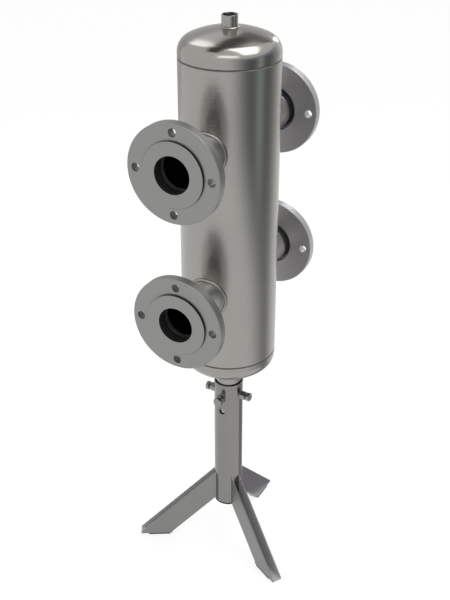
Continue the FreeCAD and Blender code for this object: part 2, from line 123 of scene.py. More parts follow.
class Signal:
    """A shader value that the operators + - * / ** work on, whichever side it stands."""

    def __init__(self, tree, socket):
        self.tree = tree
        self.socket = socket

    def __add__(self, other):
        return maths("ADD", self, other)

    def __sub__(self, other):
        return maths("SUBTRACT", self, other)

    def __mul__(self, other):
        return maths("MULTIPLY", self, other)

    def __truediv__(self, other):
        return maths("DIVIDE", self, other)

    def __pow__(self, other):
        return maths("POWER", self, other)

    def __rsub__(self, other):
        return maths("SUBTRACT", other, self)

    def __rtruediv__(self, other):
        return maths("DIVIDE", other, self)

    def __rpow__(self, other):
        return maths("POWER", other, self)

    def __abs__(self):
        return maths("ABSOLUTE", self)

    __radd__ = __add__
    __rmul__ = __mul__


print("shader values take + - * / ** and abs")

# %% [markdown]
# Any other node comes from one method, which takes the node's type, its settings and what feeds
# its sockets. The short methods below it name the few nodes that these finishes use again and
# again, so that a finish reads like the sentence that describes it.


# %% One method for any other node
class Recipe:
    """A node tree that is written as a recipe."""

    def __init__(self, tree):
        self.tree = tree
        tree.nodes.clear()

    def node(self, kind, inputs=None, output=0, **settings):
        """Add a node, set its settings, feed its sockets and give one of its outputs."""
        new = self.tree.nodes.new("ShaderNode" + kind)
        for setting, value in settings.items():
            setattr(new, setting, value)
        for socket, value in (inputs or {}).items():
            feed(self.tree, new.inputs[socket], value)
        return Signal(self.tree, new.outputs[output]) if new.outputs else None

    def axes(self, vector):
        """The three parts of a vector, each as its own value."""
        node = self.node("SeparateXYZ", {"Vector": vector}).socket.node
        return [Signal(self.tree, socket) for socket in node.outputs]

    def vector(self, x, y, z):
        return self.node("CombineXYZ", {"X": x, "Y": y, "Z": z})

    def noise(self, vector, scale=1.0, detail=2.0):
        return self.node("TexNoise", {"Vector": vector, "Scale": scale, "Detail": detail})

    def between(self, share, low, high):
        """Colour that runs from low to high as share goes from 0 to 1.

        A Mix node has sockets for each kind of value: 6, 7 and output 2 are those for colours.
        """
        return self.node("Mix", {0: share, 6: low, 7: high}, output=2, data_type="RGBA")

    def step(self, value, start, end, low=0.0, high=1.0):
        """Smooth step: low before start, high after end."""
        limits = {"From Min": start, "From Max": end, "To Min": low, "To Max": high}
        return self.node("MapRange", {"Value": value, **limits}, interpolation_type="SMOOTHSTEP")

    def bump(self, height, depth, strength):
        return self.node("Bump", {"Height": height, "Distance": depth, "Strength": strength})


print("recipe methods", [word for word in vars(Recipe) if not word.startswith("_")])

# %% [markdown]
# One function makes every material of the separator: a principled shader whose colour,
# roughness and relief are functions of the place on the object. Object coordinates are that
# place. They need no unwrapping, and a pattern on them runs on from piece to piece.


# %% A material from functions of the place
def material_of(name, colour, roughness, relief, metallic=1.0, specular=0.5):
    """Principled material; what varies is a function of recipe and place, the rest a number."""
    material = bpy.data.materials.new(name)
    material.use_nodes = True
    recipe = Recipe(material.node_tree)
    place = recipe.node("TexCoord", output="Object")
    sockets = {"Base Color": colour(recipe, place), "Roughness": roughness(recipe, place),
               "Metallic": metallic(recipe, place) if callable(metallic) else metallic,
               "Normal": relief(recipe, place), "Specular IOR Level": specular}
    shader = recipe.node("BsdfPrincipled", sockets)
    recipe.node("OutputMaterial", {"Surface": shader})
    print(f"{name}: {len(material.node_tree.nodes)} nodes")
    return material


def distance(x, y):
    """Distance from an axis, the root of x^2 + y^2."""
    return (x * x + y * y) ** 0.5


def past_nearer(z, low, high):
    """How far z lies past the nearer of two heights: |z - middle| less half their distance."""
    return abs(z - (low + high) / 2) - (high - low) / 2


print("3 and 4 across the axis are", distance(3, 4), "away from it")

# %% [markdown]
# The shell and the heads were ground round, so their fine lines run round the vessel's axis. A
# picture of scratches would show its edges and blur close up. Noise that is squeezed a hundred
# times in one direction has neither fault. It is squeezed along height plus radius: on the shell
# only the height changes and on a flat crown only the radius, so the lines become rings there.


# %% Ground lines and seams
GRIND_LINES = 1400.0        # per metre across the lines
GRIND_LENGTH = 14.0         # per metre along them


def ground_round(recipe, place):
    """Noise squeezed along height plus radius, so that its streaks run round the axis."""
    x, y, z = recipe.axes(place)
    across = (z + distance(x, y)) * GRIND_LINES
    return recipe.noise(recipe.vector(x * GRIND_LENGTH, y * GRIND_LENGTH, across), detail=3.0)


def past_seam(recipe, place):
    """Height past the nearer seam: positive on the heads and negative on the shell."""
    x, y, z = recipe.axes(place)
    return past_nearer(z, shell_low[2], shell_high[2])


def seam_groove(recipe, place):
    """1 in the two grooves where the heads meet the shell, 0 away from them."""
    return recipe.step(abs(past_seam(recipe, place)), 1.5 * MM, 2.2 * MM, 1.0, 0.0)


def on_heads(recipe, place):
    """1 beyond the seams, 0 on the shell."""
    return recipe.step(past_seam(recipe, place), 0.0, 1.5 * MM)


print(f"seams at {shell_low[2] / MM:.1f} and {shell_high[2] / MM:.1f} mm")

# %% [markdown]
# Satined steel is not one grey: the plate is cloudy, and the spun heads were polished finer and
# look darker. In the grooves between heads and shell no wheel could reach, and they stay dull;
# their colour is darkened there as painted shade.
# Each of these is a mask on the place, and colour and roughness mix their values by it.

# %% Satin steel
SATIN_LIGHT, SATIN_DARK = (0.352, 0.346, 0.326), (0.318, 0.312, 0.292)
# Painted shade: the colour in the seam grooves is darkened for the shade in them.
GROOVE_SHADE = (0.2, 0.196, 0.185)
SATIN_ROUGH = 0.24
HEADS_FINER = 0.075
GROOVE_ROUGHER = 0.35


def satin_colour(recipe, place):
    """Cloudy plate, darker on the heads, with painted shade in the grooves."""
    mix = recipe.noise(place, 7.0, 4.0) - 0.9 * on_heads(recipe, place)
    return recipe.between(seam_groove(recipe, place),
                          recipe.between(mix, SATIN_DARK, SATIN_LIGHT), GROOVE_SHADE)


def satin_roughness(recipe, place):
    clouds = recipe.noise(place, 12.0, 3.0)
    plate = SATIN_ROUGH + 0.02 * ground_round(recipe, place) + 0.04 * clouds
    heads, groove = on_heads(recipe, place), seam_groove(recipe, place)
    return plate - HEADS_FINER * heads + GROOVE_ROUGHER * groove


def satin_lines(recipe, place):
    return recipe.bump(ground_round(recipe, place), 0.003 * MM, 0.4)


satin = material_of("satin_steel", satin_colour, satin_roughness, satin_lines)

# %% [markdown]
# The branch pipes' steel is drawn paler than the shell's, as painted light for the bright
# reflections on them, and the bores and the thread in the vent socket are darkened as painted
# shade. Two materials would need the faces of each piece sorted. A mask on the distance from the
# piece's own axis does it inside one material.

# %% Pipes and socket
# Painted light: the pipes' two tones are drawn pale for the bright reflections on them.
PIPE_BRIGHTENED_LIGHT, PIPE_BRIGHTENED_DARK = (0.64, 0.63, 0.61), (0.56, 0.55, 0.53)
# Painted shade: the colours inside the pipes' bores and the socket's bore.
PIPE_BORE_SHADE = (0.11, 0.11, 0.11)
SOCKET_BORE_SHADE = (0.09, 0.088, 0.085)


def pipe_colour(recipe, place):
    """Paler steel outside the middle of the pipe's wall, as painted light, and painted shade inside
    it.
    """
    x, y, z = recipe.axes(place)
    rise = past_nearer(z, PORT_HEIGHT["lower_front"], PORT_HEIGHT["upper_front"])
    inside = recipe.step(distance(y, rise), PIPE_R - 1.5 * MM, PIPE_R - 0.8 * MM, 1.0, 0.0)
    brightened = recipe.between(recipe.noise(place, 9.0, 3.0), PIPE_BRIGHTENED_DARK, PIPE_BRIGHTENED_LIGHT)
    return recipe.between(inside, brightened, PIPE_BORE_SHADE)


def socket_colour(recipe, place):
    """Satin outside and on the rim, and painted shade in the bore."""
    x, y, z = recipe.axes(place)
    inside = recipe.step(distance(x, y), 14.2 * MM, 14.6 * MM, 1.0, 0.0)
    return recipe.between(inside, satin_colour(recipe, place), SOCKET_BORE_SHADE)


pipe_steel = material_of("pipe_steel", pipe_colour, satin_roughness, satin_lines)
socket_steel = material_of("socket_steel", socket_colour, satin_roughness, satin_lines)

# %% [markdown]
# The flanges and the lap ends come off a lathe, and the tool leaves rings about the port's own
# axis. So their pattern runs with the distance from that axis. Upper and lower ports lie at two
# heights and get a material each, from the same function. The back of a front flange is drawn
# nearly white, as painted light for its reflection in the shell, the rear flanges are drawn paler
# all over, as painted light in the vessel's shade, and the edge of a lap is drawn nearly black,
# as painted shade in the gap against its flange.

# %% Flanges and lap ends
TURNED_LIGHT, TURNED_DARK = (0.29, 0.287, 0.28), (0.26, 0.258, 0.252)
# Painted light: the rear flanges are drawn paler all over, against the vessel's shade on them.
REAR_BRIGHTENED_LIGHT, REAR_BRIGHTENED_DARK = (0.49, 0.48, 0.495), (0.44, 0.43, 0.445)
# Painted light: the back of a front flange is drawn near white, so that the shell mirrors it paler.
BRIGHTENED_BACK = (0.8, 0.79, 0.78)
# Painted shade: the edge of a lap is drawn nearly black, for the shade in the gap against its
# flange.
LAP_EDGE_SHADE = (0.02, 0.02, 0.02)
LAP_R = measured("lower_front_lap_end")[1][1]
FRONT_BACK = measured("lower_front_flange")[1][0]
TURNING_LINES = 1100.0      # per metre


def turned(name, height, lap=False):
    """Turned steel whose rings are centred on a port's axis at this height."""

    def from_port(recipe, place):
        """Where the place lies along the port's axis, and how far from it."""
        x, y, z = recipe.axes(place)
        return x, distance(y, z - height)

    def rings(recipe, place):
        along, radius = from_port(recipe, place)
        return recipe.noise(recipe.vector(along * TURNING_LINES, radius * TURNING_LINES, 0.0))

    def colour(recipe, place):
        along, radius = from_port(recipe, place)
        mix = 0.6 * rings(recipe, place) + 0.4 * recipe.noise(place, 25.0, 3.0)
        # Painted light on the backs of the front flanges.
        back = recipe.step(along, FRONT_BACK - 0.6 * MM, FRONT_BACK - 0.3 * MM)
        # Painted light on the rear flanges.
        rear = recipe.step(along, 0.1, 0.15)
        metal = recipe.between(back, recipe.between(mix, TURNED_DARK, TURNED_LIGHT), BRIGHTENED_BACK)
        metal = recipe.between(rear, metal, recipe.between(mix, REAR_BRIGHTENED_DARK, REAR_BRIGHTENED_LIGHT))
        # Painted shade on the lap's edge.
        edge = recipe.step(radius, LAP_R - 0.5 * MM, LAP_R - 0.2 * MM)
        return recipe.between(edge, metal, LAP_EDGE_SHADE) if lap else metal

    def roughness(recipe, place):
        return 0.33 + 0.12 * rings(recipe, place)

    def grooves(recipe, place):
        return recipe.bump(rings(recipe, place), 0.02 * MM, 0.6)

    return material_of(name, colour, roughness, grooves)


turned_steel, lap_steel = {}, {}
for level in ("lower", "upper"):
    height = PORT_HEIGHT[f"{level}_front"]
    turned_steel[level] = turned(f"turned_steel_{level}", height)
    lap_steel[level] = turned(f"lap_steel_{level}", height, lap=True)

# %% [markdown]
# Weld metal froze from a melt, so it has no ground lines. It has a fine uneven skin, and a
# faint straw colour where it cooled in air. Plain noise, each time at a smaller scale, gives
# its colour, its roughness and its skin.

# %% Weld metal
STRAW_LIGHT, STRAW_DARK = (0.36, 0.35, 0.33), (0.26, 0.25, 0.235)


def straw(recipe, place):
    return recipe.between(recipe.noise(place, 160.0, 3.0), STRAW_DARK, STRAW_LIGHT)


def weld_roughness(recipe, place):
    return 0.2 + 0.1 * recipe.noise(place, 400.0)


def weld_skin(recipe, place):
    return recipe.bump(recipe.noise(place, 900.0, 3.0), 0.03 * MM, 0.5)


weld_metal = material_of("weld_metal", straw, weld_roughness, weld_skin)

# %% [markdown]
# The stand tube, the nuts and the screws were drawn through a die, which leaves lines along
# the bar. The tube's run up and down, so its noise is squeezed across x and y and stretched
# along z. The fasteners are so small that the same direction serves for them.


# %% Drawn steel
def drawn_lines(recipe, place):
    x, y, z = recipe.axes(place)
    return recipe.noise(recipe.vector(x * 900.0, y * 900.0, z * 9.0), detail=3.0)


def drawn(name, light, dark, rough):
    """Drawn steel between two tones, with its streaks up and down."""

    def colour(recipe, place):
        return recipe.between(recipe.noise(place, 15.0, 3.0), dark, light)

    def roughness(recipe, place):
        return rough + 0.09 * drawn_lines(recipe, place)

    def relief(recipe, place):
        return recipe.bump(drawn_lines(recipe, place), 0.01 * MM, 0.5)

    return material_of(name, colour, roughness, relief)


drawn_tube = drawn("drawn_tube", (0.25, 0.246, 0.236), (0.215, 0.211, 0.202), 0.14)

# %% [markdown]
# The legs were cut from rolled sheet and folded, and the rolling lines follow each leg down its
# slope. Down and across are two straight combinations of radius and height, so one pattern
# suits all three legs. Only the outside was brushed: inside the channel the sheet is dull, and
# its colour is drawn pale as painted light against the channel's shade. A mask finds that inside.

# %% Lines and channel of the legs
LEG_SLOPE = math.radians(44.5)
LEG_HALF = measured("leg_1")[1][1]
LEGS = 3


def rolled_lines(recipe, place):
    """Noise squeezed across the slope: its streaks run down each leg from the tube."""
    x, y, z = recipe.axes(place)
    radius = distance(x, y)
    down = radius * math.cos(LEG_SLOPE) - z * math.sin(LEG_SLOPE)
    across = radius * math.sin(LEG_SLOPE) + z * math.cos(LEG_SLOPE)
    return recipe.noise(recipe.vector(down * 12.0, across * 1100.0, 0.0), detail=3.0)


def in_channel(recipe, place):
    """1 inside a leg's channel: within the inner faces of the leg's two walls.

    The azimuth is folded into the nearest leg's sixty degrees to each side, and the distance
    from that leg's middle plane is radius * |sin|.
    """
    x, y, z = recipe.axes(place)
    share = 2 * math.pi / LEGS
    folded = maths("FLOORED_MODULO", maths("ARCTAN2", y, x) + share / 2, share) - share / 2
    off_plane = abs(distance(x, y) * maths("SINE", folded))
    return recipe.step(off_plane, LEG_HALF - 1.7 * MM, LEG_HALF - 1.2 * MM, 1.0, 0.0)


print(f"a leg is {2 * LEG_HALF / MM:.1f} mm wide and falls {math.degrees(LEG_SLOPE):.1f} degrees")

# %% [markdown]
# The channel's mask moves three things at once. The colour turns pale, as painted light against
# the channel's shade, the roughness goes up, and the metal share goes down, because the rolled
# skin scatters more light than it mirrors.

# %% Leg sheet
SHEET_LIGHT, SHEET_DARK = (0.252, 0.25, 0.246), (0.218, 0.216, 0.213)
# Painted light: the inside of the channel is drawn pale against its shade.
CHANNEL_PAINTED_LIGHT = (0.55, 0.55, 0.56)


def sheet_colour(recipe, place):
    brushed = recipe.between(recipe.noise(place, 15.0, 3.0), SHEET_DARK, SHEET_LIGHT)
    # Inside the channel the colour is painted light.
    return recipe.between(in_channel(recipe, place), brushed, CHANNEL_PAINTED_LIGHT)


def sheet_roughness(recipe, place):
    return 0.27 + 0.09 * rolled_lines(recipe, place) + 0.3 * in_channel(recipe, place)


def sheet_relief(recipe, place):
    return recipe.bump(rolled_lines(recipe, place), 0.01 * MM, 0.5)


def sheet_metallic(recipe, place):
    return 1.0 - 0.6 * in_channel(recipe, place)


folded_sheet = material_of("folded_sheet", sheet_colour, sheet_roughness, sheet_relief,
                           sheet_metallic)

# %% [markdown]
# The clamp nuts and screws are drawn steel like the tube, a little lighter and duller. The plug
# in the tube and the pads under the feet are black mouldings. What is seen of a black moulding
# is mostly its sheen, so its specular level is low, and a fine grain scatters what is left.


# %% Fasteners, plastic and rubber
def moulded(name, colour, rough, grain):
    """Black moulded surface with a fine grain."""

    def tone(recipe, place):
        lighter = tuple(1.6 * part for part in colour)
        return recipe.between(recipe.noise(place, 90.0, 3.0), colour, lighter)

    def roughness(recipe, place):
        return rough + 0.1 * recipe.noise(place, 300.0)

    def relief(recipe, place):
        return recipe.bump(recipe.noise(place, grain), 0.06 * MM, 0.6)

    return material_of(name, tone, roughness, relief, metallic=0.0, specular=0.06)


fastener = drawn("fastener_steel", (0.3, 0.298, 0.292), (0.25, 0.248, 0.242), 0.24)
black_plastic = moulded("black_plastic", (0.006, 0.006, 0.006), 0.42, 1800.0)
black_rubber = moulded("black_rubber", (0.005, 0.005, 0.005), 0.62, 1100.0)

# %% [markdown]
# The record gives every node a slot, which says what it is made of. How it was worked also
# counts, so the flanges choose by their level, and a few names choose a finish of their own.

# %% Finishes put on the frame's nodes
FINISH = {"vessel_steel": satin, "stand_steel": drawn_tube, "weld_metal": weld_metal,
          "fastener_steel": fastener, "black_plastic": black_plastic, "black_rubber": black_rubber}
for row in frame["record"]["subparts"]:
    name, slot = row["node"], row["material_slot"]
    if slot == "flange_steel":
        finish = (lap_steel if name.endswith("lap_end") else turned_steel)[name.split("_")[0]]
    elif name.startswith(("leg", "foot_plate")):
        finish = folded_sheet
    elif name.endswith("_pipe"):
        finish = pipe_steel
    elif name == "spigot":
        finish = satin
    else:
        finish = FINISH[slot]
    for entry in frame["nodes"][name].material_slots:
        entry.material = finish

# %% [markdown]
# Every new piece is a surface worked out as one array of points. The points form a grid whose
# two directions may each close on themselves: a weld bead closes both ways like a ring, and a
# turned piece closes round its axis and is capped at its ends. The faces follow from the grid's
# numbering alone, and the sign of the volume that they enclose tells whether they point out.


# %% Faces of a grid
def with_poles(grid):
    """The grid with a row more at each end, which has shrunk to its neighbour's middle point."""
    ends = [np.repeat(grid[end].mean(axis=0)[None, None], grid.shape[1], axis=1) for end in (0, -1)]
    return np.concatenate([ends[0], grid, ends[1]])


def grid_faces(rows, columns, ring):
    """Quads of a numbered grid whose columns close; the rows close too if it is a ring."""
    number = np.arange(rows * columns).reshape(rows, columns)
    if ring:
        number = np.concatenate([number, number[:1]])
    number = np.concatenate([number, number[:, :1]], axis=1)
    quads = np.stack([number[:-1, :-1], number[1:, :-1], number[1:, 1:], number[:-1, 1:]], axis=-1)
    return quads.reshape(-1, 4)


def enclosed_volume(points, faces):
    """One sixth of the sum of a . (b x c) over the two triangles of each face."""
    a, b, c, d = (points[faces[:, side]] for side in range(4))
    return (np.einsum("ij,ij->", a, np.cross(b, c)) + np.einsum("ij,ij->", a, np.cross(c, d))) / 6


print("a ring of 3 by 4 points has", len(grid_faces(3, 4, ring=True)), "faces")

# %% [markdown]
# The mesh gets its points and faces in one call. A piece with poles has many points at each
# pole, which are merged into one, so that it ends in triangles. Last, the piece is told which
# body of the separator carries it, and its slot.


# %% A piece from a grid
def merge_poles(mesh):
    """Join the points that fell together at the two poles."""
    shape = bmesh.new()
    shape.from_mesh(mesh)
    bmesh.ops.remove_doubles(shape, verts=shape.verts, dist=1e-7)
    bmesh.ops.dissolve_degenerate(shape, edges=shape.edges, dist=1e-8)
    shape.to_mesh(mesh)
    shape.free()


def surface(name, grid, body, finish, capped=False, sharp=180.0):
    """Closed piece from a grid of points, rows by columns: a ring both ways, or capped."""
    if capped:
        grid = with_poles(grid)
    points = grid.reshape(-1, 3)
    faces = grid_faces(*grid.shape[:2], ring=not capped)
    if enclosed_volume(points, faces) < 0:
        faces = faces[:, ::-1]
    mesh = bpy.data.meshes.new(name)
    mesh.from_pydata(points.tolist(), [], faces.tolist())
    if capped:
        merge_poles(mesh)
    mesh.shade_smooth()
    mesh.set_sharp_from_angle(angle=math.radians(sharp))
    piece = bpy.data.objects.new(name, mesh)
    bpy.context.scene.collection.objects.link(piece)
    piece.data.materials.append(finish)
    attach(piece, body)
    print(f"{name}: {len(mesh.polygons)} faces")
    return piece


# %% [markdown]
# A fillet weld fills the corner between two surfaces. Its path is the corner itself, and its
# section is drawn in the plane of two directions there: up the one surface and out along the
# other. A welder who moves in small steps leaves crescent ripples. They could be left to bump,
# but a bead's outline shows them, so the section's size swings along the path, a little later
# at the middle of the bead than at its edges.

# %% Fillet bead
BEAD_STEP = 0.42 * MM
RIPPLE = 1.7 * MM
SECTION_POINTS = 20
BULGE = 0.45                # 0 is a flat fillet, 1 a full round
SWING = 0.05                # of the section's size
ROOT_SIZE = 0.22            # what is left of the section inside the metal


def bead_section():
    """Size of the section by angle: a bulged fillet in the open corner, a thin root in the metal.

    Between the two legs the radius is a mean of the flat fillet 1 / (cos + sin) and a full round.
    """
    angle = np.linspace(-0.75 * math.pi, 1.25 * math.pi, SECTION_POINTS, endpoint=False)
    inside = np.clip(angle, 0.0, math.pi / 2)
    open_side = (1.0 - BULGE) / (np.cos(inside) + np.sin(inside)) + BULGE
    away = np.maximum(np.maximum(-angle, angle - math.pi / 2), 0.0)
    return angle, np.where(away > 0.0, np.maximum(ROOT_SIZE, 1.0 - 3.2 * away), open_side)


def fillet_grid(root, up, out, leg):
    """Grid of a bead, a row for each path point.

    A point is root + leg * size * ripple * (up cos + out sin), with the angle of the section.
    """
    angle, size = bead_section()
    travelled = np.concatenate([[0.0], np.cumsum(np.linalg.norm(np.diff(root, axis=0), axis=1))])
    whole = travelled[-1] + np.linalg.norm(root[0] - root[-1])
    ripples = round(whole / RIPPLE)
    middle = np.exp(-((angle - math.pi / 4) / 0.6) ** 2)
    phase = 2 * math.pi * (ripples * travelled[:, None] / whole - 0.45 * middle[None])
    wave = 1.0 + SWING * (np.abs(np.sin(phase / 2)) * 2 - 1.2) * (size > 0.5)
    reach = (leg * size * wave)[..., None]
    return root[:, None] + reach * (up[:, None] * np.cos(angle)[None, :, None]
                                    + out[:, None] * np.sin(angle)[None, :, None])


def fillet_bead(name, path, leg, body, finish=weld_metal, capped=False):
    """Bead along a path, which is its corner points with the two leg directions there."""
    return surface(name, fillet_grid(*path, leg), body, finish, capped=capped)


def path_count(length):
    return int(length / BEAD_STEP)


print(f"a bead has {SECTION_POINTS} points round and a ripple every {RIPPLE / MM:.1f} mm")

# %% [markdown]
# Where a branch pipe meets the shell, the corner is the curve of two crossing cylinders. A
# boolean would give that curve in uneven steps, and a formula gives it in even ones. With the
# angle t round the pipe, a point has y = r cos t and height r sin t, and lies on the shell at
# x = sqrt(R^2 - y^2). One leg of the weld runs out along the pipe, the other along the shell's
# own tangent away from the pipe.


# %% Saddle welds of the branch pipes
def around(count):
    return np.linspace(0.0, 2 * math.pi, count, endpoint=False)


def unit(vectors):
    return vectors / np.linalg.norm(vectors, axis=-1, keepdims=True)


def along_surface(away, normal):
    """The direction away with its part along the normal taken out: away - (away . n) n."""
    return unit(away - np.einsum("ij,ij->i", away, normal)[:, None] * normal)


def saddle(port):
    """Corner curve of a branch pipe on the shell, with the weld's two leg directions."""
    side = -1.0 if port.endswith("front") else 1.0
    turn = around(path_count(2 * math.pi * PIPE_R))
    y, rise = PIPE_R * np.cos(turn), PIPE_R * np.sin(turn)
    x = np.sqrt(SHELL_R ** 2 - y ** 2)
    root = np.stack([side * x, y, PORT_HEIGHT[port] + rise], axis=1)
    up = np.tile([side, 0.0, 0.0], (len(turn), 1))
    normal = np.stack([side * x, y, 0 * x], axis=1) / SHELL_R
    radial = np.stack([0 * y, y, rise], axis=1) / PIPE_R
    return root, up, along_surface(radial, normal)


for port in PORTS:
    leg = measured(f"{port}_weld")[1][1] - PIPE_R
    bead = fillet_bead(f"{port}_saddle_bead", saddle(port), leg, "vessel")
    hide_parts(f"{port}_weld")

# %% [markdown]
# The vent socket stands on the top head and the spigot hangs from the bottom head. Both welds
# are rings on a sphere of the crown radius: at radius r the sphere lies c = sqrt(C^2 - r^2)
# from its centre, and its tangent falls away by the slope r / c. The upper weld was ground and
# satined with its head, the lower one was left as welded.


# %% Neck welds on the heads
def neck(radius, apex, way):
    """Ring on a head's crown; way is +1 on the top head and -1 on the bottom head."""
    turn = around(path_count(2 * math.pi * radius))
    radial = np.stack([np.cos(turn), np.sin(turn), 0 * turn], axis=1)
    height = math.sqrt(CROWN_R ** 2 - radius ** 2)
    root = radius * radial + np.array([0.0, 0.0, apex + way * (height - CROWN_R)])
    up = np.tile([0.0, 0.0, way], (len(turn), 1))
    out = unit(radial - np.array([0.0, 0.0, way * radius / height]))
    return root, up, out


SOCKET_R = measured("vent_socket")[1][0]
SPIGOT_R = measured("spigot")[1][0]
NECK_LEG = measured("vent_weld")[1][2] - TOP_APEX
for node, radius, apex, way, finish in (("vent_weld", SOCKET_R, TOP_APEX, 1.0, satin),
                                        ("spigot_weld", SPIGOT_R, BOTTOM_APEX, -1.0, weld_metal)):
    path = neck(radius, apex, way)
    bead = fillet_bead(node.replace("weld", "bead"), path, NECK_LEG, "vessel", finish)
    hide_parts(node)

# %% [markdown]
# A lap end joins its branch pipe in a butt weld, a low crown all round the pipe. There is no
# corner to fill, so the fillet's section won't do. This one is half an ellipse above the pipe
# and a thin root below, with the same ripples.


# %% Butt welds of the lap ends
def crown_ring(port):
    """Ring of half-ellipses: x = half sin a, and radius = pipe + rise cos a with ripples."""
    low, high = measured(f"{port}_butt_weld")
    middle, half = (low[0] + high[0]) / 2, (high[0] - low[0]) / 2
    rise = high[1] - PIPE_R
    turn = around(path_count(2 * math.pi * PIPE_R))[:, None]
    angle = np.linspace(-math.pi, math.pi, 16, endpoint=False)[None]
    ripples = round(2 * math.pi * PIPE_R / RIPPLE)
    bend = 0.9 * np.cos(angle) ** 2
    wave = 1.0 + 0.16 * (np.abs(np.sin((ripples * turn + bend) / 2)) * 2 - 1.3)
    lift = np.where(np.cos(angle) > 0, rise * np.cos(angle) * wave, 0.5 * rise * np.cos(angle))
    radius = PIPE_R + lift
    x = middle + half * np.sin(angle) + 0.0 * turn
    return np.stack([x, radius * np.cos(turn), PORT_HEIGHT[port] + radius * np.sin(turn)], axis=-1)


for port in PORTS:
    bead = surface(f"{port}_butt_bead", crown_ring(port), "vessel", weld_metal)
    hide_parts(f"{port}_butt_weld")

# %% [markdown]
# The vent socket carries an internal pipe thread. A Screw modifier could sweep its profile, but
# then the thread would have to be joined to the socket's walls. As a formula it is part of
# them: the bore's radius swings once for each pitch of height and once for each turn, which
# draws a helix. A countersunk mouth leads into it below a thin rim.

# %% Threaded vent socket
THREAD_PITCH = 1.814 * MM
THREAD_DEPTH = 1.15 * MM
ROWS_A_TURN = 14
SOCKET_RIM = 0.8 * MM
SOCKET_EDGE = 0.3 * MM


def helix(height, turn, pitch):
    """Rounded thread form from 0 to 1 that rises one pitch a turn."""
    return 0.5 + 0.5 * np.cos(2 * math.pi * height / pitch - turn)


def threaded_socket():
    """Rows run up the outside, over the rim and down the threaded bore; columns run round.

    The bore's radius is minor + depth * helix, with 1 for the helix in the mouth, and the
    thread fades out in the last turn above the bottom.
    """
    low, high = measured("vent_socket")
    mount = next(mount for mount in frame["record"]["mounts"] if mount["name"] == "vent_thread")
    minor = mount["dims"]["r_mm"] * MM
    rim = SOCKET_R - SOCKET_RIM
    sink = rim - minor - THREAD_DEPTH
    outside = np.array([(SOCKET_R - SOCKET_EDGE, low[2]), (SOCKET_R, low[2] + SOCKET_EDGE),
                        (SOCKET_R, high[2] - SOCKET_EDGE), (SOCKET_R - SOCKET_EDGE, high[2]),
                        (rim, high[2])])
    turn = around(120)[None]
    rows = int((high[2] - low[2]) / THREAD_PITCH * ROWS_A_TURN)
    bore = np.linspace(high[2] - sink, low[2], rows)[:, None]
    fade = np.clip((bore - low[2]) / THREAD_PITCH, 0, 1)
    form = np.where(bore > high[2] - 1.5 * sink, 1.0, helix(bore, turn, THREAD_PITCH))
    radius = np.concatenate([outside[:, :1] + 0 * turn, minor + THREAD_DEPTH * form * fade])
    height = np.concatenate([outside[:, 1:], bore]) + 0 * turn
    return np.stack([radius * np.cos(turn), radius * np.sin(turn), height], axis=-1)


socket = surface("vent_socket_threaded", threaded_socket(), "vessel", socket_steel,
                 sharp=40.0)
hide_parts("vent_socket")

# %% [markdown]
# The head of a clamp screw is a hexagon with its faces bevelled to a round. Instead of cutting
# a bar with cones, the radii are compared: round the axis, a hexagon's radius is a / cos(t)
# with t counted from the nearest flat, a bevel is a cone, and the smallest is the real surface.

# %% Hexagon head
SHANK_R = 5 * MM
SCREW_CUT = 0.75 * MM
HEX_FLAT = 17 * MM / 2
HEX_HEIGHT = 7 * MM
BEVEL = 0.4 * MM
HEAD_ROWS = np.array([0.0, 0.0, 0.35, 0.7, 4.0, 6.0, 6.2, 6.4, 6.6, 6.8, 7.0]) * MM


def hexagon_radius(turn):
    """Distance to a flat's line, a / cos, with the angle folded into the nearest sixth."""
    folded = (turn + math.pi / 6) % (math.pi / 3) - math.pi / 6
    return HEX_FLAT / np.cos(folded)


def hexagon_head(turn):
    """Rows of the head: the least of the hexagon and a cone of thirty degrees at either face."""
    up = HEAD_ROWS[:, None] + 0 * turn
    slope = 1 / math.tan(math.radians(30))
    cones = HEX_FLAT - BEVEL + slope * np.minimum(up, HEX_HEIGHT - up)
    radius = np.minimum(hexagon_radius(turn), cones)
    radius[0] = SHANK_R - SCREW_CUT
    return up, radius


print(f"hexagon {2 * HEX_FLAT / MM:.0f} mm across its flats and {HEX_HEIGHT / MM:.0f} mm high")

# %% [markdown]
# The shank carries the same helix as the socket, at a finer pitch and cut from outside, and its
# tip is chamfered. A screw is worked out along X, with a corner of its head up, and turned
# about the stand's axis for the other three.

# %% Clamp screws
SCREW_PITCH = 1.5 * MM
TIP_CHAMFER = 0.9 * MM
CLAMPS = 4


def clamp_screw(azimuth, height, low, high):
    """Rows run from the tip along the shank, over the head's inner face to its outer face."""
    turn = around(72)[None]
    shank = np.arange(low, high - HEX_HEIGHT, SCREW_PITCH / 8)[:, None] + 0 * turn
    chamfer = np.clip(low + TIP_CHAMFER - shank, 0, MM)
    shank_radius = SHANK_R - SCREW_CUT * helix(shank, turn, SCREW_PITCH) - chamfer
    up, head_radius = hexagon_head(turn)
    x = np.concatenate([shank, high - HEX_HEIGHT + up])
    radius = np.concatenate([shank_radius, head_radius])
    corner_up = turn + math.pi / 6
    y, rise = radius * np.sin(corner_up), radius * np.cos(corner_up)
    cosine, sine = math.cos(azimuth), math.sin(azimuth)
    return np.stack([cosine * x - sine * y, sine * x + cosine * y, height + rise], axis=-1)


screw_low, screw_high = measured("clamp_screw_1")
CLAMP_HEIGHT = (screw_low[2] + screw_high[2]) / 2
for number in range(CLAMPS):
    grid = clamp_screw(2 * math.pi * number / CLAMPS, CLAMP_HEIGHT, screw_low[0], screw_high[0])
    name = f"clamp_screw_{number + 1}"
    screw = surface(f"{name}_threaded", grid, "stand", fastener,
                    capped=True, sharp=35.0)
    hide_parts(name)

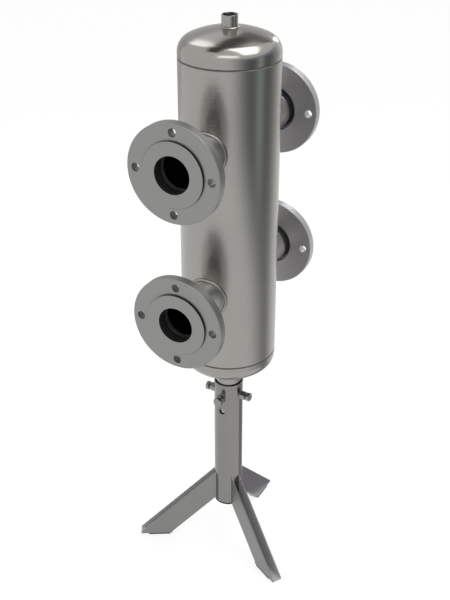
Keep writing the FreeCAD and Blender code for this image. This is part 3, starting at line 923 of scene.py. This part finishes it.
# %% [markdown]
# The stand's own welds are small: each leg is welded to the tube down one side, under its web
# and up the other side, and each nut all round. They are the same beads on other paths. The
# paths lie on the tube: y and height are drawn first, and x follows from x = sqrt(r^2 - y^2).

# %% Paths on the stand tube
TUBE_R = measured("stand_tube")[1][1]
LEG_DEPTH = 50 * MM
BEND = 3 * MM


def on_tube(y, height, tangent_y, tangent_z):
    """Corner points on the tube, with one leg along X and one along the tube's surface."""
    x = np.sqrt(TUBE_R ** 2 - y ** 2)
    root = np.stack([x, y, height], axis=1)
    up = np.tile([1.0, 0.0, 0.0], (len(y), 1))
    normal = np.stack([x, y, 0 * y], axis=1) / TUBE_R
    away = np.stack([0 * y, tangent_y, tangent_z], axis=1)
    return root, up, along_surface(away, normal)


def leg_path():
    """A U on the tube: down a leg's side, round its bend, across its web and up again.

    The left half is drawn and mirrored. The web slopes, so where the tube reaches further out
    towards the middle, the path dips by that reach times the slope's tangent.
    """
    top = measured("leg_1")[1][2] - 1 * MM
    bottom = measured("leg_1")[1][2] - LEG_DEPTH / math.cos(LEG_SLOPE)
    side = np.linspace(top, bottom + BEND, path_count(top - bottom - BEND), endpoint=False)
    bend = np.linspace(0.0, math.pi / 2, 12, endpoint=False)
    across = np.linspace(BEND - LEG_HALF, 0.0, path_count(LEG_HALF - BEND), endpoint=True)
    bend_y, bend_z = BEND - LEG_HALF - BEND * np.cos(bend), bottom + BEND - BEND * np.sin(bend)
    y = np.concatenate([np.full(len(side), -LEG_HALF), bend_y, across])
    z = np.concatenate([side, bend_z, np.full(len(across), bottom)])
    away_y = np.concatenate([np.full(len(side), -1.0), -np.cos(bend), 0 * across])
    away_z = np.concatenate([0 * side, -np.sin(bend), np.full(len(across), -1.0)])
    reach = np.sqrt(TUBE_R ** 2 - y ** 2) - math.sqrt(TUBE_R ** 2 - LEG_HALF ** 2)
    z = z - reach * math.tan(LEG_SLOPE)
    halves = ((y, -1), (z, 1), (away_y, -1), (away_z, 1))
    return on_tube(*[np.concatenate([half, sign * half[-2::-1]]) for half, sign in halves])


def nut_path():
    """The hexagon's outline laid on the tube."""
    turn = around(path_count(2 * math.pi * HEX_FLAT))
    radius = hexagon_radius(turn + math.pi / 6)
    y, rise = radius * np.sin(turn), radius * np.cos(turn)
    return on_tube(y, CLAMP_HEIGHT + rise, np.sin(turn), np.cos(turn))


print("a leg's weld has", len(leg_path()[0]), "points and a nut's", len(nut_path()[0]))

# %% [markdown]
# One path is drawn for the leg or nut that points along X, and turned about the tube's axis for
# the others. A leg's bead has two free ends, so it is capped, and a nut's bead is a ring.

# %% Welds of the stand
LEG_BEAD = 1.8 * MM
NUT_BEAD = 1.2 * MM


def turned_about(vectors, angle):
    """Vectors turned about the upright axis."""
    cosine, sine = math.cos(angle), math.sin(angle)
    return vectors @ np.array([[cosine, sine, 0.0], [-sine, cosine, 0.0], [0.0, 0.0, 1.0]])


for number in range(LEGS):
    path = [turned_about(part, 2 * math.pi * number / LEGS) for part in leg_path()]
    fillet_bead(f"leg_bead_{number + 1}", path, LEG_BEAD, "stand", capped=True)
for number in range(CLAMPS):
    path = [turned_about(part, 2 * math.pi * number / CLAMPS) for part in nut_path()]
    fillet_bead(f"nut_bead_{number + 1}", path, NUT_BEAD, "stand")

# %% [markdown]
# The photograph looks down on the separator from its front left, through a long lens. A camera
# could be aimed by a Track To constraint, but that leaves no roll to set. A direction turned
# into a rotation does, and a hair of roll gives the photograph's own tilt.

# %% Camera
CAMERA_PLACE = Vector((-1.65044, -0.87032, 1.63395))
CAMERA_LOOK = Vector((0.7719, 0.4112, -0.4848))
CAMERA_ROLL = math.radians(0.066)
LENS, SENSOR = 63.53, 36.0  # millimetres


def facing(direction, roll):
    """Rotation that looks along a direction and is rolled about it."""
    return direction.to_track_quat("-Z", "Y") @ Matrix.Rotation(roll, 3, "Z").to_quaternion()


camera = bpy.data.objects.new("camera", bpy.data.cameras.new("camera"))
bpy.context.scene.collection.objects.link(camera)
camera.location = CAMERA_PLACE
camera.rotation_mode = "QUATERNION"
camera.rotation_quaternion = facing(CAMERA_LOOK, CAMERA_ROLL)
camera.data.lens = LENS
camera.data.sensor_width = SENSOR
bpy.context.scene.camera = camera
print(f"camera {CAMERA_PLACE.length:.2f} m from the foot of the stand")

# %% [markdown]
# Polished metal shows its surroundings, so the studio is part of the finish. The floor and the
# world are white to the camera, in reflections and through glass, but they light the object
# less than a white room would. Light Path tells the kinds of ray apart.


# %% Floor
def seen_directly(recipe):
    """1 for rays from the camera, from a reflection or through glass, 0 for diffuse light."""
    path = recipe.node("LightPath").socket.node
    camera_ray, glossy, through = (Signal(recipe.tree, path.outputs[name]) for name in
                                   ("Is Camera Ray", "Is Glossy Ray", "Is Transmission Ray"))
    return maths("MAXIMUM", camera_ray, maths("MAXIMUM", glossy, through))


def plate(name, corners, material):
    """Flat stage piece through four corners."""
    mesh = bpy.data.meshes.new(name)
    mesh.from_pydata([tuple(corner) for corner in corners], [], [(0, 1, 2, 3)])
    piece = bpy.data.objects.new(name, mesh)
    bpy.context.scene.collection.objects.link(piece)
    mesh.materials.append(material)
    return piece


def floor_material():
    """White floor: its own light where it is seen directly, and a diffuse share for shadows."""
    material = bpy.data.materials.new("studio_floor")
    material.use_nodes = True
    recipe = Recipe(material.node_tree)
    matte = recipe.node("BsdfDiffuse", {"Color": (0.3, 0.3, 0.3)})
    strength = seen_directly(recipe) * 0.8
    shine = recipe.node("Emission", {"Color": (1.0, 1.0, 1.0), "Strength": strength})
    recipe.node("OutputMaterial", {"Surface": recipe.node("AddShader", {0: matte, 1: shine})})
    return material


FLOOR = 12.0
plate("floor", [(-FLOOR, -FLOOR, 0), (FLOOR, -FLOOR, 0), (FLOOR, FLOOR, 0), (-FLOOR, FLOOR, 0)],
      floor_material())
print("floor", 2 * FLOOR, "m wide")

# %% [markdown]
# Past the floor's edge the world goes on in the same white. Its strength is 1 for what sees it
# directly and less for the light that it throws on the separator.

# %% World
AMBIENT = 0.6
world = bpy.data.worlds.new("studio")
bpy.context.scene.world = world
world.use_nodes = True
sky = Recipe(world.node_tree)
strength = AMBIENT + (1.0 - AMBIENT) * seen_directly(sky)
background = sky.node("Background", {"Color": (1.0, 1.0, 1.0), "Strength": strength})
sky.node("OutputWorld", {"Surface": background})
print("world light", AMBIENT)

# %% [markdown]
# A cylinder reads as metal by the dark and light stripes that it mirrors, and a white room has
# none. Photographers hang cards just out of the picture. Here a card is a plate that shines in
# its own tone, unseen by the camera, so that it may even stand in the camera's way.


# %% Cards for reflections
def glow(name, colour_of):
    """Material that shines by itself, in a colour that may run over the place."""
    material = bpy.data.materials.new(name)
    material.use_nodes = True
    recipe = Recipe(material.node_tree)
    place = recipe.node("TexCoord", output="Object")
    light = recipe.node("Emission", {"Color": colour_of(recipe, place)})
    recipe.node("OutputMaterial", {"Surface": light})
    return material


def for_reflections(piece):
    """Let only reflections see a stage piece."""
    piece.visible_camera = False
    piece.visible_diffuse = False
    piece.visible_shadow = False
    print("only in reflections:", piece.name)
    return piece


def card(name, corners, colour):
    """Flat card of one colour that only reflections see."""
    return for_reflections(plate(name, corners, glow(name, lambda recipe, place: colour)))


print("cards shine in the tone that the metal is to mirror")

# %% [markdown]
# A curtain hangs round the right side of the vessel, and its tone runs with azimuth and height.
# The shell mirrors it as soft dark bands that fade towards the floor. Each smooth step below is
# one edge of the dark band, in degrees, and the edges lean, since the band narrows downwards.

# %% Tone of the curtain
GAP_MIDDLE, GAP_WIDTH = -87.0, 8.0          # degrees of azimuth
GREENISH = (0.66, 0.78, 0.71)
VIOLET = (0.5, 0.46, 0.72)


def leaning(up, low, high):
    """Value that runs from low at the foot to high further up."""
    return low + (high - low) * up


def curtain_colour(recipe, place):
    """White less the dark band, with a greenish gap in it and a violet hem at the top.

    The gap is a bell curve e^(-off^2) of the azimuth.
    """
    x, y, z = recipe.axes(place)
    azimuth = maths("ARCTAN2", y, x) * math.degrees(1.0)
    up = recipe.step(z, 0.26, 0.86)
    left = recipe.step(azimuth, leaning(up, -112.0, -160.0), leaning(up, -58.0, -108.0))
    right = 1.0 - recipe.step(azimuth, leaning(up, -60.0, -70.0), leaning(up * up, -30.0, -5.0))
    dark = left * right * leaning(up, 0.64, 0.82)
    off = (azimuth - GAP_MIDDLE) / GAP_WIDTH
    gap = 0.75 * up * up * math.e ** (-1.0 * off * off)
    hem = recipe.step(z, 1.24, 1.28) * dark
    tone = recipe.between(dark, (1.0, 1.0, 1.0), (0.0, 0.0, 0.0))
    return recipe.between(hem, recipe.between(gap, tone, GREENISH), VIOLET)


print(f"gap in the dark band at {GAP_MIDDLE:.0f} degrees")

# %% [markdown]
# Many flat cards would show their corners in the shell, and one curved sheet has none. It is
# part of an upright cylinder about the vessel's axis.

# %% Curtain
CURTAIN_R = 0.62
CURTAIN_FOOT, CURTAIN_TOP = 0.02, 1.38
CURTAIN_START, CURTAIN_END = -160.0, -5.0   # degrees of azimuth


def curtain():
    """One row of points at the foot and one at the top: x = r cos a, y = r sin a."""
    azimuth = np.radians(np.linspace(CURTAIN_START, CURTAIN_END, 60))
    x, y = CURTAIN_R * np.cos(azimuth), CURTAIN_R * np.sin(azimuth)
    points = np.concatenate([np.stack([x, y, height + 0 * x], axis=1)
                             for height in (CURTAIN_FOOT, CURTAIN_TOP)])
    low = np.arange(len(x) - 1)
    faces = np.stack([low, low + 1, low + len(x) + 1, low + len(x)], axis=1)
    mesh = bpy.data.meshes.new("curtain")
    mesh.from_pydata(points.tolist(), [], faces.tolist())
    mesh.materials.append(glow("curtain", curtain_colour))
    piece = bpy.data.objects.new("curtain", mesh)
    bpy.context.scene.collection.objects.link(piece)
    return for_reflections(piece)


curtain()

# %% [markdown]
# Four flat cards do the rest. A bar over the vessel draws the dark sweep on the top head, and a
# greyer wing carries it on to the right. A pale card far behind greys the edge of the shell,
# and one on the floor darkens the right side of the stand.

# %% Flat cards
OVERHEAD = 2.63
BACK_FOOT, BACK_TOP = 0.2, 2.3
ON_FLOOR = 0.0005
card("overhead_bar", [(-0.75, 0.2, OVERHEAD), (1.3, 0.12, OVERHEAD),
                      (1.6, 0.62, OVERHEAD), (-0.75, 0.8, OVERHEAD)], (0.06, 0.057, 0.045))
card("overhead_wing", [(1.3, 0.12, OVERHEAD), (5.2, -0.6, OVERHEAD),
                       (5.2, 1.7, OVERHEAD), (1.6, 0.62, OVERHEAD)], (0.22, 0.22, 0.21))
card("back_card", [(2.6, 0.0, BACK_FOOT), (0.5, 2.6, BACK_FOOT),
                   (0.5, 2.6, BACK_TOP), (2.6, 0.0, BACK_TOP)], (0.62, 0.61, 0.6))
card("floor_card", [(0.03, -0.05, ON_FLOOR), (0.38, -0.65, ON_FLOOR),
                    (0.75, -0.06, ON_FLOOR), (0.2, -0.012, ON_FLOOR)], (0.44, 0.42, 0.47))

# %% [markdown]
# Four soft boxes light the metal, since a point lamp would only leave a spark on it. The large
# key light and a smaller box beyond it stand to both sides of the overhead bar, one box
# catches the rim of the top head, and one fills the front. A lamp's power is its radiance times
# pi times its area, so a box keeps its brightness in a mirror when its size changes.


# %% Soft boxes
def soft_box(name, place, target, width, height, radiance, spin=0.0):
    """Area lamp at a place, turned to a target, that stays out of the picture."""
    data = bpy.data.lights.new(name, "AREA")
    data.shape = "RECTANGLE"
    data.size, data.size_y = width, height
    data.energy = radiance * math.pi * width * height
    lamp = bpy.data.objects.new(name, data)
    bpy.context.scene.collection.objects.link(lamp)
    lamp.location = place
    lamp.rotation_mode = "QUATERNION"
    lamp.rotation_quaternion = facing(Vector(target) - Vector(place), math.radians(spin))
    lamp.visible_camera = False
    print(f"{name}: {data.energy:.1f} W")
    return lamp


soft_box("key_box", (0.25, -0.78, OVERHEAD), (0.25, -0.78, 0.0), 1.05, 1.6, 3.4, spin=-25.5)
soft_box("far_box", (0.75, 1.3, OVERHEAD), (0.0, 0.0, 1.1), 0.55, 0.9, 1.8)
soft_box("rim_box", (1.98, -0.14, 1.5), (0.0, 0.0, 1.13), 0.9, 0.5, 5.0)
soft_box("front_box", (-1.7, -0.75, 2.8), (0.0, 0.0, 1.0), 1.7, 0.6, 1.9)

# %% [markdown]
# The plain view transform shows a colour about as it is written.

# %% View
bpy.context.scene.view_settings.view_transform = "Standard"
